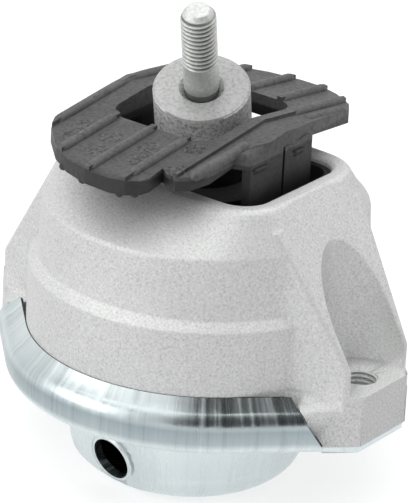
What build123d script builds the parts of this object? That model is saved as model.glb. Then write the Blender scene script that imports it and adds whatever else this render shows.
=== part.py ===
# Fluid-filled engine mount: cast housing with two ears, crimped base pan,
# bonded rubber spring, tilted core with a stud, and a ribbed stop buffer.
# Millimetres. Z is up. The origin is midway between the two bolt holes,
# on the underside of the base pan. X runs from one ear to the other.
from build123d import *
import math
import os

os.makedirs("parts", exist_ok=True)

fit_gap = 0.3

# bolt holes
bolt_spacing = 112.0
bolt_d = 10.0

# base pan, whose edge lies just inside the bolt holes' middles
sheet = 2.0
pan_inside_bolt = 0.4
pan_bend = 5.0
crimp_shoulder_z = 8.2
crimp_shoulder_r = 5.4
crimp_lip_z = 16.0
crimp_end_before_ear = 4.90409
crimp_end_slope = 0.643

# cup in the pan, with a flat for the vent hole
cup_x = -1.0
cup_y = -2.6
cup_inside_pan = 17.3
cup_taper = 4.5
cup_depth = 27.0
cup_wall = 1.8
cup_bend_out = 13.6
cup_bend_up = 9.8
facet_angle = -96.0
facet_lean = 15.0
facet_depth = 4.2
vent_d = 13.0
vent_lip = 0.9
vent_lip_wall = 1.1
vent_z = -17.2
vent_side = -0.6

# housing
flange_z = 9.0
flange_top_z = 13.0
flange_groove_z = 9.5
lower_wall_step = 3.6
upper_wall_step = 2.6
shoulder_step = 0.9
ledge_low_z = 35.0
ledge_high_z = 37.6
shoulder_z = 55.0
rim_z = 66.5
window_x = 61.0
window_y = 44.0
window_corner = 8.0
rim_edge = 4.8
ear_past_bolt = 8.6
ear_end_slant = 3.92735
ear_corner = 2.5
ear_side_before_bolt = 6.0
ear_side_slope = 0.29
ear_draft = 0.0175
ear_root_in_slope = 1.4
ear_top_z = 61.0
ear_floor_z = 16.7
ear_rib_z = 20.2
slope_past_rim = 0.1
pocket_r = 12.8
slope_round = 2.2
shoulder_round = 2.0
ledge_round = 1.2
rim_round = 3.0
window_round = 1.5
pocket_round = 0.6
foot_z = 13.0
run_wall_step = 1.8
run_ledge_z = 16.5

# rubber spring and its ring
cavity_wall = 13.6
cavity_step = 3.0
ring_wall = 4.0
ring_low_z = 15.0
cavity_low_z = 36.0
cavity_top_z = 51.0
lining = 2.0
lining_drop = 2.0
spring_seat_z = 17.0
spring_inner_z = 37.0
spring_inner_r = 14.0
spring_low_inside = 5.7
spring_cone_r = 19.5
spring_top_r = 17.0
spring_top_z = 60.0

# channel plates, membrane and diaphragm
plate_low_z = 5.0
plate_mid_z = 9.5
port_r = 3.2
port_circle_r = 13.0
membrane_r = 20.6
membrane_thick = 2.2
membrane_room = 0.4
channel_inside = 7.3
channel_wide = 8.0
channel_deep = 3.2
diaphragm_wall = 2.0
diaphragm_gap = 0.4
diaphragm_wave_inside = 8.8
diaphragm_wave_z = -1.4
diaphragm_wave_wide = 6.4
diaphragm_low_z = -13.0

# core and stud
core_top = (-2.6, -1.5, 87.3)
core_tilt = (0.181037, -0.360075, 0.915189)
core_head_r = 13.65
core_head_length = 14.0
core_recess_d = 12.8
core_recess = 1.6
core_chamfer = 0.5
core_foot_z = 40.0
core_foot_r = 12.0
core_neck_r = 13.0
core_neck_z = 74.0
stud_d = 10.0
stud_neck_d = 9.2
stud_out = 29.4
stud_chamfer = 1.5
stud_in = 15.0
stud_shank_start = 0.6

# stop buffer
buffer_low_x = -32.4
buffer_high_x = 26.6
buffer_z = 82.0
buffer_drop = 0.12
buffer_thick = 4.2
buffer_crown_r = 70.0
opening_low_x = -22.0
opening_high_x = 13.5
opening_y = 1.4
opening_half_y = 21.0
opening_corner = 7.0
rib_x = (-29.4, -17.7, -4.6, 7.2, 17.6)
rib_w = 1.8
rib_h = 1.1
leg_x = 25.2
leg_thick = 2.8
leg_top_drop = 0.2
leg_y = ((-16.6, -1.8), (-0.8, 11.8))
buffer_outline = (
    (-31.6, -20.0), (-30.8, -30.5), (-28.1, -35.7), (-20.5, -42.7), (-13.2, -46.8), (-5.1, -49.0),
    (3.5, -49.4), (8.1, -48.2), (11.6, -45.7), (12.5, -43.0), (11.9, -36.6), (14.3, -38.4), (18.1, -39.2),
    (21.0, -36.5), (23.0, -30.3), (22.4, -18.0), (24.6, -13.0), (26.6, -8.0), (26.6, 4.0), (25.0, 12.5),
    (24.4, 20.5), (23.8, 28.6), (23.5, 33.5), (20.5, 37.7), (12.5, 43.0), (5.1, 45.6), (-2.0, 45.6),
    (-12.0, 43.8), (-22.0, 39.5), (-28.5, 34.0), (-31.6, 27.0),
)

bolt_x = bolt_spacing / 2
pan_r = bolt_x - pan_inside_bolt
cup_r = pan_r - cup_inside_pan
cup_low_r = cup_r - cup_taper
flange_r = pan_r - sheet - fit_gap
lower_wall_r = flange_r - lower_wall_step
upper_wall_r = lower_wall_r - upper_wall_step
shoulder_r = upper_wall_r - shoulder_step
crimp_lip_r = lower_wall_r + fit_gap
cavity_r = flange_r - cavity_wall

# ear: its end, its sides and the slanted run that joins them to the rim
ear_end_x = bolt_x + ear_past_bolt
ear_side_x = bolt_x - ear_side_before_bolt
slope_top_x = window_x / 2 + rim_edge + slope_past_rim
ear_root_x = slope_top_x - ear_root_in_slope
# the pocket's mouth is rounded less where little is left between it and the rim
mouth_round = min(pocket_round, (bolt_x - pocket_r - slope_top_x) / 12)
run_sum = flange_r * math.sqrt(2)
ear_corner_x = ear_end_x - ear_end_slant
ear_side_y = run_sum - (1 - ear_side_slope) * ear_corner_x - ear_side_slope * ear_side_x
crimp_end_along = ear_corner_x * math.sqrt(2) - flange_r - crimp_end_before_ear

# inner radii that follow the cavity and the cup
spring_low_r = cavity_r - spring_low_inside
channel_r = cavity_r - channel_inside
fold_r = cup_low_r + cup_y - diaphragm_gap
diaphragm_wave_r = fold_r - diaphragm_wave_inside
diaphragm_flat_r = diaphragm_wave_r - diaphragm_wave_wide
buffer_reach = 1.2 * max(abs(y) for x, y in buffer_outline)


def across(angle):
    """Upright plane through the axis: x runs outward at the angle, y runs up."""
    a = math.radians(angle)
    return Plane(
        origin=(0, 0, 0), x_dir=(math.cos(a), math.sin(a), 0), z_dir=(math.sin(a), -math.cos(a), 0))


def along(angle, reach, side):
    """Upright plane square to the radius at the angle: x runs towards the ear, y runs up."""
    a = math.radians(angle)
    return Plane(
        origin=(reach * math.cos(a), reach * math.sin(a), 0),
        x_dir=(-side * math.sin(a), side * math.cos(a), 0), z_dir=(side * math.cos(a), side * math.sin(a), 0))


# the rim's four straight runs leave the round part at these angles and point to an ear
straight_runs = ((-45, 1), (45, -1), (135, 1), (-135, -1))


def ear_side(z):
    """Corner points of the ears' plan at height z, with the casting's draft."""
    side_y = ear_side_y - ear_draft * (z - foot_z)
    corner_x = (run_sum - side_y - ear_side_slope * ear_side_x) / (1 - ear_side_slope)
    root_half = side_y + ear_side_slope * (ear_side_x - ear_root_x)
    right = [
        (ear_root_x, -root_half), (corner_x, corner_x - run_sum), (ear_end_x, ear_end_x - run_sum),
        (ear_end_x, run_sum - ear_end_x), (corner_x, run_sum - corner_x), (ear_root_x, root_half),
    ]
    left = [(-x, y) for x, y in reversed(right)]
    return right + left


def on_slope(edge):
    """True for an edge that lies on one of the ears' two sloping faces."""
    fall = (rim_z - ear_rib_z) / (ear_end_x - slope_top_x)
    ends = (edge.position_at(0.1), edge.position_at(0.9))
    return all(abs(p.Z - ear_rib_z - (ear_end_x - abs(p.X)) * fall) < 0.05 for p in ends)


# ears: one block across the housing with a sloping face at each end
with BuildPart() as ears:
    with BuildSketch(Plane.XY.offset(sheet)):
        Polygon(*ear_side(sheet), align=None)
    with BuildSketch(Plane.XY.offset(ear_top_z)):
        Polygon(*ear_side(ear_top_z), align=None)
    loft(ruled=True)
    upright_edges = ears.edges().filter_by(lambda e: abs(e.tangent_at(0.5).Z) > 0.9)
    fillet(upright_edges.filter_by(lambda e: abs(e.center().X) > ear_root_x + 1), radius=ear_corner)
    with BuildSketch(Plane.XZ):
        Polygon(
            (-ear_end_x, sheet), (ear_end_x, sheet), (ear_end_x, ear_rib_z), (slope_top_x, rim_z),
            (-slope_top_x, rim_z), (-ear_end_x, ear_rib_z), align=None,
        )
    extrude(amount=ear_side_x, both=True, mode=Mode.INTERSECT)
    slope_edges = ears.edges().filter_by(lambda e: on_slope(e) and e.center().Z < ear_top_z - 1)
    fillet(slope_edges, radius=slope_round)

def level_edges(piece, z):
    """The piece's edges whose middle is at height z."""
    return piece.edges().filter_by(lambda e: abs(e.center().Z - z) < 0.05)


def at_radius(edge):
    """True for a long edge that runs round the outside of the body."""
    return edge.length > 5 and math.hypot(edge.center().X, edge.center().Y) > cavity_r


def at_pocket(edge):
    """True for a longer edge round a bolt pocket's mouth."""
    return edge.length > 3 and abs(edge.center().Y) < pocket_r + 0.4 and edge.center().Z < ear_top_z


def in_window(edge):
    """True for an edge of the window, judged by its middle point."""
    p = edge.position_at(0.5)
    return abs(p.X) < window_x / 2 + 0.1 and abs(p.Y) < window_y / 2 + 0.1


def outside_window(edge):
    """True for the longer edges of the rim's outside."""
    return edge.length > 1 and not in_window(edge)


# section of the housing's flange, under the crimped rim
with BuildSketch() as flange_section:
    Polygon(
        (cavity_r, sheet), (pan_r - pan_bend - fit_gap, sheet), (flange_r, pan_bend + 0.8),
        (flange_r, flange_z), (crimp_lip_r, flange_top_z), (lower_wall_r - 1, flange_groove_z),
        (cavity_r, flange_groove_z), align=None,
    )

# housing
with BuildPart() as housing:
    with BuildSketch(Plane.XZ):
        Polygon(
            (0, sheet), (lower_wall_r, sheet), (lower_wall_r, ledge_low_z),
            (upper_wall_r, ledge_high_z), (shoulder_r, shoulder_z), (0, shoulder_z), align=None,
        )
        add(flange_section.sketch)
    revolve(axis=Axis.Z)
    with BuildSketch(Plane.XY.offset(shoulder_z)):
        Circle(shoulder_r)
    with BuildSketch(Plane.XY.offset(rim_z)):
        RectangleRounded(window_x + 2 * rim_edge, window_y + 2 * rim_edge, window_corner + rim_edge)
    loft()
    add(ears.part)
    # the flange runs straight towards the ears, and a foot fills the corner past the crimp's end
    for angle, side in straight_runs:
        with BuildSketch(across(angle)):
            add(flange_section.sketch)
        extrude(amount=-side * (crimp_end_along + fit_gap))
        with BuildSketch(across(angle)):
            Polygon(
                (cavity_r, sheet), (lower_wall_r - run_wall_step, sheet),
                (lower_wall_r - run_wall_step, run_ledge_z), (cavity_r, run_ledge_z + 2), align=None,
            )
        extrude(amount=-side * crimp_end_along)
        with BuildSketch(along(angle, cavity_r, side)):
            Polygon(
                (crimp_end_along + fit_gap, sheet), (ear_end_x * math.sqrt(2) - flange_r, sheet),
                (ear_end_x * math.sqrt(2) - flange_r, foot_z),
                (crimp_end_along + fit_gap - crimp_end_slope * (foot_z - sheet), foot_z), align=None,
            )
        extrude(amount=side * (flange_r - cavity_r))
    # hollow for the spring, open below
    with BuildSketch(Plane.XZ):
        Polygon(
            (0, sheet), (cavity_r, sheet), (cavity_r, cavity_low_z), (cavity_r - cavity_step, cavity_low_z),
            (cavity_r - cavity_step, cavity_top_z), (0, cavity_top_z), align=None,
        )
    revolve(axis=Axis.Z, mode=Mode.SUBTRACT)
    # window, with rounded edges inside and outside its rim
    with BuildSketch(Plane.XY.offset(cavity_top_z)):
        RectangleRounded(window_x, window_y, window_corner)
    extrude(amount=rim_z - cavity_top_z, mode=Mode.SUBTRACT)
    # nothing of the round body stands above the sloping faces
    for side in (-1, 1):
        with BuildSketch(Plane.XZ):
            Polygon(
                (side * ear_end_x, ear_rib_z), (side * slope_top_x, rim_z),
                (side * slope_top_x, rim_z + 10), (side * (ear_end_x + 10), rim_z + 10), align=None,
            )
        extrude(amount=60, both=True, mode=Mode.SUBTRACT)
    fillet(level_edges(housing, shoulder_z).filter_by(at_radius), radius=shoulder_round)
    fillet(level_edges(housing, ledge_high_z).filter_by(at_radius), radius=ledge_round)
    fillet(level_edges(housing, ledge_low_z).filter_by(at_radius), radius=ledge_round)
    fillet(level_edges(housing, rim_z).filter_by(outside_window), radius=rim_round)
    fillet(level_edges(housing, rim_z).filter_by(in_window), radius=window_round)
    # bolt pockets, open to the ear's end, and bolt holes
    for side in (-1, 1):
        with BuildSketch(Plane.XY.offset(ear_floor_z)):
            with Locations((side * bolt_x, 0)):
                Circle(pocket_r)
            with Locations((side * (bolt_x + pocket_r), 0)):
                Rectangle(2 * pocket_r, 2 * pocket_r)
        extrude(amount=rim_z, mode=Mode.SUBTRACT)
    fillet(housing.edges().filter_by(lambda e: on_slope(e) and at_pocket(e)), radius=mouth_round)
    for side in (-1, 1):
        with BuildSketch(Plane.XY.offset(sheet)):
            with Locations((side * bolt_x, 0)):
                Circle(bolt_d / 2)
        extrude(amount=ear_floor_z, mode=Mode.SUBTRACT)
housing.part.label = "housing"
export_step(housing.part, "parts/housing.step")

# section of the crimped rim: bend, wall, rolled shoulder and lip
shoulder_centre = pan_r - crimp_shoulder_r
lip_turn = math.radians(62)
inner_shoulder_r = crimp_shoulder_r - sheet
with BuildSketch() as rim_section:
    with BuildLine():
        Line((cup_r + 2, 0), (pan_r - pan_bend, 0))
        CenterArc((pan_r - pan_bend, pan_bend), pan_bend, -90, 90)
        Line((pan_r, pan_bend), (pan_r, crimp_shoulder_z))
        CenterArc((shoulder_centre, crimp_shoulder_z), crimp_shoulder_r, 0, 62)
        Polyline(
            (shoulder_centre + crimp_shoulder_r * math.cos(lip_turn),
             crimp_shoulder_z + crimp_shoulder_r * math.sin(lip_turn)),
            (crimp_lip_r, crimp_lip_z), (crimp_lip_r - 0.1, crimp_lip_z - 2.2),
            (shoulder_centre + inner_shoulder_r * math.cos(lip_turn),
             crimp_shoulder_z + inner_shoulder_r * math.sin(lip_turn)),
        )
        CenterArc((shoulder_centre, crimp_shoulder_z), inner_shoulder_r, 62, -62)
        Line((pan_r - sheet, crimp_shoulder_z), (pan_r - sheet, pan_bend))
        CenterArc((pan_r - pan_bend, pan_bend), pan_bend - sheet, 0, -90)
        Polyline((pan_r - pan_bend, sheet), (cup_r + 2, sheet), (cup_r + 2, 0))
    make_face()

with BuildPart() as crimp:
    with BuildSketch(Plane.XZ):
        add(rim_section.sketch)
    revolve(axis=Axis.Z)
    # the round part ends where the straight runs begin
    with BuildSketch(Plane.XY):
        for side in (-1, 1):
            Polygon((0, 0), (side * 90, -90), (side * 90, 90), align=None)
    extrude(amount=30, mode=Mode.SUBTRACT)
    for angle, side in straight_runs:
        with BuildSketch(across(angle)):
            add(rim_section.sketch)
        extrude(amount=-side * crimp_end_along)
        # slanted end of the crimp
        with BuildSketch(along(angle, cup_r, side)):
            Polygon(
                (crimp_end_along, sheet), (crimp_end_along + 20, sheet), (crimp_end_along + 20, 30),
                (crimp_end_along - crimp_end_slope * (30 - sheet), 30), align=None,
            )
        extrude(amount=side * (pan_r - cup_r + 10), mode=Mode.SUBTRACT)


def cup_section(wall):
    """Section of the cup's outside, or of its hollow when a wall is given."""
    with BuildSketch() as section:
        with BuildLine():
            top = (cup_r - wall, sheet if wall else 0)
            bend_top = (cup_low_r - wall, cup_bend_up - cup_depth)
            bend_low = (cup_low_r - cup_bend_out, wall - cup_depth)
            Line(top, bend_top)
            EllipticalCenterArc(
                (bend_low[0], bend_top[1]), bend_top[0] - bend_low[0], bend_top[1] - bend_low[1],
                start_angle=270, arc_size=90)
            Polyline(bend_low, (0, bend_low[1]), (0, top[1]), top)
        make_face()
    return section.sketch


def facet_plane(depth):
    """Plane of the vent's flat, moved inwards by a depth; its y axis points up along the flat."""
    a = math.radians(facet_angle)
    lean = math.radians(facet_lean)
    normal = Vector(math.cos(a) * math.cos(lean), math.sin(a) * math.cos(lean), -math.sin(lean))
    wall_share = (vent_z + cup_depth - cup_bend_up) / (cup_depth - cup_bend_up)
    out = cup_low_r + (cup_r - cup_low_r) * wall_share - facet_depth
    middle = Vector(cup_x + out * math.cos(a), cup_y + out * math.sin(a), vent_z)
    return Plane(origin=middle - normal * depth, x_dir=(-math.sin(a), math.cos(a), 0), z_dir=normal)


def run_corner(reach, run):
    """Point on the straight run towards +X on the -Y side, at an offset from the axis."""
    return ((reach + run) / math.sqrt(2), (run - reach) / math.sqrt(2))


# cup: tapered, a little off the axis, with a flat on its side
cup_plane = Plane(origin=(cup_x, cup_y, 0), x_dir=(1, 0, 0), z_dir=(0, -1, 0))
cup_axis = Axis((cup_x, cup_y, 0), (0, 0, 1))
with BuildPart() as cup:
    with BuildSketch(cup_plane):
        add(cup_section(0))
    revolve(axis=cup_axis)
    with BuildSketch(facet_plane(0)):
        Rectangle(4 * cup_r, 4 * cup_r)
    extrude(amount=cup_r, mode=Mode.SUBTRACT)
with BuildPart() as cup_hollow:
    with BuildSketch(cup_plane):
        add(cup_section(cup_wall))
    revolve(axis=cup_axis)
    with BuildSketch(facet_plane(cup_wall)):
        Rectangle(4 * cup_r, 4 * cup_r)
    extrude(amount=cup_r, mode=Mode.SUBTRACT)

# base pan: flat sheet with the crimped rim and the cup
sheet_r = pan_r - pan_bend
tongue_reach = flange_r - 2 * fit_gap
tongue_end_x = ear_end_x - 2 * fit_gap
pan_quarter = [
    run_corner(sheet_r, 0), run_corner(sheet_r, crimp_end_along), run_corner(tongue_reach, crimp_end_along),
    (tongue_end_x, tongue_end_x - tongue_reach * math.sqrt(2)),
]
pan_right = pan_quarter + [(x, -y) for x, y in reversed(pan_quarter)]
pan_left = [(-x, y) for x, y in reversed(pan_right)]
with BuildPart() as base_pan:
    with BuildSketch(Plane.XY):
        Circle(sheet_r)
        Polygon(*(pan_right + pan_left), align=None)
    extrude(amount=sheet)
    add(crimp.part)
    add(cup.part)
    add(cup_hollow.part, mode=Mode.SUBTRACT)
    with BuildSketch(Plane.XY):
        with Locations((-bolt_x, 0), (bolt_x, 0)):
            Circle(bolt_d / 2)
    extrude(amount=sheet, mode=Mode.SUBTRACT)
    # vent hole with a raised lip
    with BuildSketch(facet_plane(0)):
        with Locations((vent_side, 0)):
            Circle(vent_d / 2 + vent_lip_wall)
    extrude(amount=vent_lip)
    with BuildSketch(facet_plane(2 * cup_wall)):
        with Locations((vent_side, 0)):
            Circle(vent_d / 2)
    extrude(amount=3 * cup_wall + vent_lip, mode=Mode.SUBTRACT)
base_pan.part.label = "base_pan"
export_step(base_pan.part, "parts/base_pan.step")

# core: an upright cone with a tilted round head
tilt_dir = Vector(*core_tilt).normalized()
core_plane = Plane(origin=core_top, x_dir=(core_tilt[2], 0, -core_tilt[0]), z_dir=tilt_dir)
head_low = Vector(*core_top) - tilt_dir * core_head_length
with BuildPart() as core:
    with BuildSketch(Plane.XY.offset(core_foot_z)):
        with Locations((head_low.X, head_low.Y)):
            Circle(core_foot_r)
    with BuildSketch(Plane.XY.offset(core_neck_z)):
        with Locations((head_low.X, head_low.Y)):
            Circle(core_neck_r)
    loft()
    with BuildSketch(core_plane.offset(-core_head_length)):
        Circle(core_head_r)
    extrude(amount=core_head_length)
    chamfer(core.edges().filter_by(GeomType.CIRCLE).sort_by(Axis.Z)[-1], length=core_chamfer)
    with BuildSketch(core_plane.offset(-core_recess)):
        Circle(core_recess_d / 2)
    extrude(amount=core_recess + 1, mode=Mode.SUBTRACT)
    with BuildSketch(core_plane.offset(-stud_in)):
        Circle(stud_neck_d / 2 + fit_gap / 2)
    extrude(amount=stud_in + 1, mode=Mode.SUBTRACT)
core.part.label = "core"
export_step(core.part, "parts/core.step")

# stud: a thinner neck in the core, then the full shank
with BuildPart() as stud:
    with BuildSketch(core_plane.offset(-stud_in)):
        Circle(stud_neck_d / 2)
    extrude(amount=stud_in + stud_shank_start)
    with BuildSketch(core_plane.offset(stud_shank_start)):
        Circle(stud_d / 2)
    extrude(amount=stud_out - stud_shank_start)
    chamfer(stud.edges().filter_by(GeomType.CIRCLE).sort_by(Axis.Z)[-1], length=stud_chamfer)
stud.part.label = "stud"
export_step(stud.part, "parts/stud.step")

# rubber spring: a thick cone from the ring to the core
spring_r = cavity_r - cavity_step - fit_gap
ring_inner_r = cavity_r - fit_gap - ring_wall
ring_top_z = cavity_low_z - 1
with BuildPart() as main_spring:
    with BuildSketch(Plane.XZ):
        Polygon(
            (0, spring_inner_z), (spring_inner_r, spring_inner_z), (spring_low_r, spring_seat_z),
            (ring_inner_r, spring_seat_z), (ring_inner_r, ring_top_z), (spring_r, ring_top_z),
            (spring_r, cavity_top_z), (spring_cone_r, cavity_top_z),
            (spring_top_r, spring_top_z), (0, spring_top_z), align=None,
        )
    revolve(axis=Axis.Z)
    with BuildSketch(Plane.XY.offset(core_foot_z)):
        with Locations((head_low.X, head_low.Y)):
            Circle(core_neck_r + fit_gap / 2)
    extrude(amount=core_neck_z - core_foot_z, mode=Mode.SUBTRACT)
main_spring.part.label = "main_spring"
export_step(main_spring.part, "parts/main_spring.step")

# rubber lining of the window, standing on the spring
with BuildPart() as window_lining:
    with BuildSketch(Plane.XY.offset(cavity_top_z)):
        RectangleRounded(window_x - fit_gap, window_y - fit_gap, window_corner - fit_gap / 2)
        RectangleRounded(
            window_x - 2 * lining, window_y - 2 * lining, window_corner - lining, mode=Mode.SUBTRACT)
    extrude(amount=rim_z - cavity_top_z - lining_drop)
window_lining.part.label = "window_lining"
export_step(window_lining.part, "parts/window_lining.step")

with BuildPart() as spring_ring:
    with BuildSketch(Plane.XY.offset(ring_low_z)):
        Circle(cavity_r - fit_gap)
        Circle(cavity_r - ring_wall, mode=Mode.SUBTRACT)
    extrude(amount=ring_top_z - ring_low_z)
spring_ring.part.label = "spring_ring"
export_step(spring_ring.part, "parts/spring_ring.step")

# channel plates with the membrane held between them
with BuildPart() as upper_plate:
    with BuildSketch(Plane.XY.offset(plate_mid_z)):
        Circle(cavity_r - fit_gap)
    extrude(amount=ring_low_z - plate_mid_z)
    with BuildSketch(Plane.XY.offset(plate_mid_z)):
        Circle(membrane_r + membrane_room)
    extrude(amount=membrane_thick + membrane_room, mode=Mode.SUBTRACT)
    with BuildSketch(Plane.XY.offset(plate_mid_z)):
        with PolarLocations(port_circle_r, 6):
            Circle(port_r)
        Circle(port_r)
    extrude(amount=ring_low_z - plate_mid_z, mode=Mode.SUBTRACT)
    with BuildSketch(Plane.XY.offset(plate_mid_z)):
        Circle(channel_r + channel_wide / 2)
        Circle(channel_r - channel_wide / 2, mode=Mode.SUBTRACT)
    extrude(amount=channel_deep, mode=Mode.SUBTRACT)
upper_plate.part.label = "upper_plate"
export_step(upper_plate.part, "parts/upper_plate.step")

with BuildPart() as lower_plate:
    with BuildSketch(Plane.XY.offset(plate_low_z)):
        Circle(cavity_r - fit_gap)
    extrude(amount=plate_mid_z - plate_low_z)
    with BuildSketch(Plane.XY.offset(plate_low_z)):
        with PolarLocations(port_circle_r, 6):
            Circle(port_r)
        Circle(port_r)
        with Locations((channel_r, 0)):
            Circle(port_r)
    extrude(amount=plate_mid_z - plate_low_z, mode=Mode.SUBTRACT)
lower_plate.part.label = "lower_plate"
export_step(lower_plate.part, "parts/lower_plate.step")

with BuildPart() as membrane:
    with BuildSketch(Plane.XY.offset(plate_mid_z)):
        Circle(membrane_r)
    extrude(amount=membrane_thick)
membrane.part.label = "membrane"
export_step(membrane.part, "parts/membrane.step")

# diaphragm: a thin wavy cup held between the pan and the lower plate
with BuildPart() as diaphragm:
    with BuildSketch(Plane.XZ):
        Polygon(
            (0, diaphragm_low_z), (diaphragm_flat_r + 1.4, diaphragm_low_z),
            (diaphragm_wave_r, diaphragm_wave_z - 2.6),
            (fold_r - 3.5, diaphragm_wave_z - 6.6), (fold_r, diaphragm_wave_z - 0.6), (fold_r, sheet),
            (cavity_r - fit_gap, sheet), (cavity_r - fit_gap, plate_low_z), (fold_r - 1.8, plate_low_z),
            (fold_r - 1.8, diaphragm_wave_z), (fold_r - 3.8, diaphragm_wave_z - 3.4),
            (diaphragm_wave_r, diaphragm_wave_z), (diaphragm_flat_r, diaphragm_low_z + diaphragm_wall),
            (0, diaphragm_low_z + diaphragm_wall), align=None,
        )
    revolve(axis=Axis.Z)
diaphragm.part.label = "diaphragm"
export_step(diaphragm.part, "parts/diaphragm.step")


def arch_profile(low, high):
    """Roof-like strip between two heights, measured from the buffer's top face."""
    end_y = buffer_reach
    end_z = buffer_z - buffer_drop * end_y
    return [
        (-end_y, end_z + low), (0, buffer_z + low), (end_y, end_z + low),
        (end_y, end_z + high), (0, buffer_z + high), (-end_y, end_z + high),
    ]


# stop buffer: an arched plate with ribs, and legs that stand in the window
with BuildPart() as stop_buffer:
    with BuildSketch(Plane.YZ.offset(buffer_low_x)) as arch:
        Polygon(*arch_profile(-buffer_thick, 0), align=None)
        fillet(arch.vertices().filter_by(lambda v: abs(v.Y) < 1), radius=buffer_crown_r)
    extrude(amount=buffer_high_x - buffer_low_x)
    for x in rib_x:
        with BuildSketch(Plane.YZ.offset(x - rib_w / 2)) as rib:
            Polygon(*arch_profile(-1, rib_h), align=None)
            fillet(rib.vertices().filter_by(lambda v: abs(v.Y) < 1), radius=buffer_crown_r)
        extrude(amount=rib_w)
    # outline seen from above
    with BuildSketch(Plane.XY.offset(cavity_top_z)):
        Polygon(*buffer_outline, align=None)
    extrude(amount=buffer_reach, mode=Mode.INTERSECT)
    # central opening
    with BuildSketch(Plane.XY.offset(cavity_top_z)):
        with Locations(((opening_low_x + opening_high_x) / 2, opening_y)):
            RectangleRounded(opening_high_x - opening_low_x, 2 * opening_half_y, opening_corner)
    extrude(amount=buffer_reach, mode=Mode.SUBTRACT)
    # legs
    for x in (-leg_x, leg_x):
        for low_y, high_y in leg_y:
            with BuildSketch(Plane.XY.offset(cavity_top_z)):
                with Locations((x, (low_y + high_y) / 2)):
                    Rectangle(leg_thick, high_y - low_y)
            extrude(amount=buffer_z - cavity_top_z - buffer_thick - leg_top_drop)
stop_buffer.part.label = "stop_buffer"
export_step(stop_buffer.part, "parts/stop_buffer.step")
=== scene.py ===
import math

import bmesh
import bpy
import numpy as np
from bpy.props import FloatProperty, FloatVectorProperty, PointerProperty
from mathutils import Matrix, Vector


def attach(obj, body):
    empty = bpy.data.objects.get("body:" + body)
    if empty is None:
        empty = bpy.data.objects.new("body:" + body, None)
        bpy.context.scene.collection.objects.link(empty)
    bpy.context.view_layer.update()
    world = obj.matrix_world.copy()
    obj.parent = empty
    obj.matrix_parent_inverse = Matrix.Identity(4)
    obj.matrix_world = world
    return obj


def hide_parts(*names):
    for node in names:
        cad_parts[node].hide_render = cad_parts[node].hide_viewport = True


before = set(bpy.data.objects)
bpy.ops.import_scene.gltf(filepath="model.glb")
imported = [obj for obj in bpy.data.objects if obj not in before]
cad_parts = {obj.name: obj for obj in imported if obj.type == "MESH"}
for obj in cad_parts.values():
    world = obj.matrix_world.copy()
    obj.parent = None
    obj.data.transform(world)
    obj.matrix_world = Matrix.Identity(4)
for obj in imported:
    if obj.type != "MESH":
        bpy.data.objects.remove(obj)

bl_info = {
    "name": "Engine mount",
    "version": (1, 0, 0),
    "blender": (4, 5, 0),
    "location": "3D View > Sidebar > Engine mount",
    "description": "Dresses the cast housing, zinc-plated pan, stop buffer, core and threaded stud",
    "category": "Object",
}

MM = 0.001
FULL_TURN = 2 * math.pi
QUARTER_TURN = math.pi / 2

# places taken from the solids, in metres
CORE_TOP = np.array((-2.6, -1.5, 87.3)) * MM
CORE_AXIS = np.array((0.181037, -0.360075, 0.915189))
FLOOR_Z = -27.0 * MM
BOLT_X = 56.0 * MM

# below these heights, in metres, the core wears black rubber and the buffer's legs are painted near black:
# painted shade under the plate
RUBBER_TOP = 73.0 * MM
LEG_SHADE_TOP = 76.6 * MM

# the fitted view: picture height and focal length in pixels, angles in radians, the rest in millimetres
PHOTO_HEIGHT = 503.0
PHOTO_FOCAL = 3699.0
VIEW_DISTANCE = 1060.8
VIEW_TILT = 0.414
VIEW_ROLL = -0.051
VIEW_TURN = -0.635
AIM_RIGHT = 0.43
AIM_UP = 32.66
AIM_Z = 2.0
SENSOR_WIDTH = 36.0

# lamps: name, metres right and ahead of the part, height, size, watts, and whether reflections show it
LAMPS = (
    ("left_box", -1.15, -0.45, 0.50, 1.0, 4.8, True),
    ("right_box", 1.15, 0.20, 0.90, 0.9, 0.8, True),
    ("top_box", 0.15, 0.10, 1.60, 2.4, 14.0, True),
    ("front_box", -0.25, -0.85, 1.50, 1.7, 16.0, False),
)
LAMP_AIM_Z = 0.03
WORLD_LIGHT = 0.32
FLOOR_HALF = 3.0
FLOOR_GREY = 0.45
FLOOR_LIFT = 0.66
CARD_RADIUS = 1.5
CARD_TURN = (-14, 62)
CARD_RISE = (6, 84)

# linear colours of the rubber coat and of the painted shade in the crimp's gap, of the painted shade in the
# slots and of the dark card
COAT_AND_SHADE_BLACK = (0.008, 0.008, 0.008)
SLOT_SHADE_BLACK = (0.004, 0.004, 0.004)
CARD_COLOUR = (0.03, 0.03, 0.035)

# radius of the crimp's wall, on which the zinc's streaks are laid out
STREAK_R = 55.0 * MM

# patches of eroded mould texture on the buffer's top, in millimetres
MARKS = (
    (-20.5, -35.5), (-21.5, -29.0), (-11.3, -30.6), (-9.4, -38.6), (1.7, -29.5), (3.9, -36.5),
    (12.6, -23.5), (15.6, -36.5),
)
MARK_R = 3.9 * MM

# a bead is its half width and height in millimetres, then its sink and end taper where they differ
# bead of painted shade in the gap between the crimp's lip and the casting
SHADE_BEAD_R = 49.72
SHADE_BEAD_Z = 15.75
SHADE_BEAD_RUN = 18.0
SHADE_BEAD_FIRST_STEP = 0.8
SHADE_BEAD = (0.42, 0.25, 0.3, 1.0)

# stud, in millimetres: distance along the axis from the core's top, and the radius there
STUD_PROFILE = (
    (-15.0, 4.3), (-14.9, 4.6), (0.5, 4.6), (0.6, 4.7), (0.9, 4.97), (27.0, 4.97), (29.2, 3.35),
    (29.36, 3.1), (29.4, 2.9),
)
THREAD_START = 9.6
THREAD_FADE_IN = 1.3
THREAD_END = 28.4
THREAD_FADE_OUT = 0.9

# thread turns in the ears, in millimetres
EAR_THREAD_LOW = 2.6
EAR_THREAD_HIGH = 16.2
EAR_THREAD_R = 4.35
EAR_THREAD_BACK_R = 5.12

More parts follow.
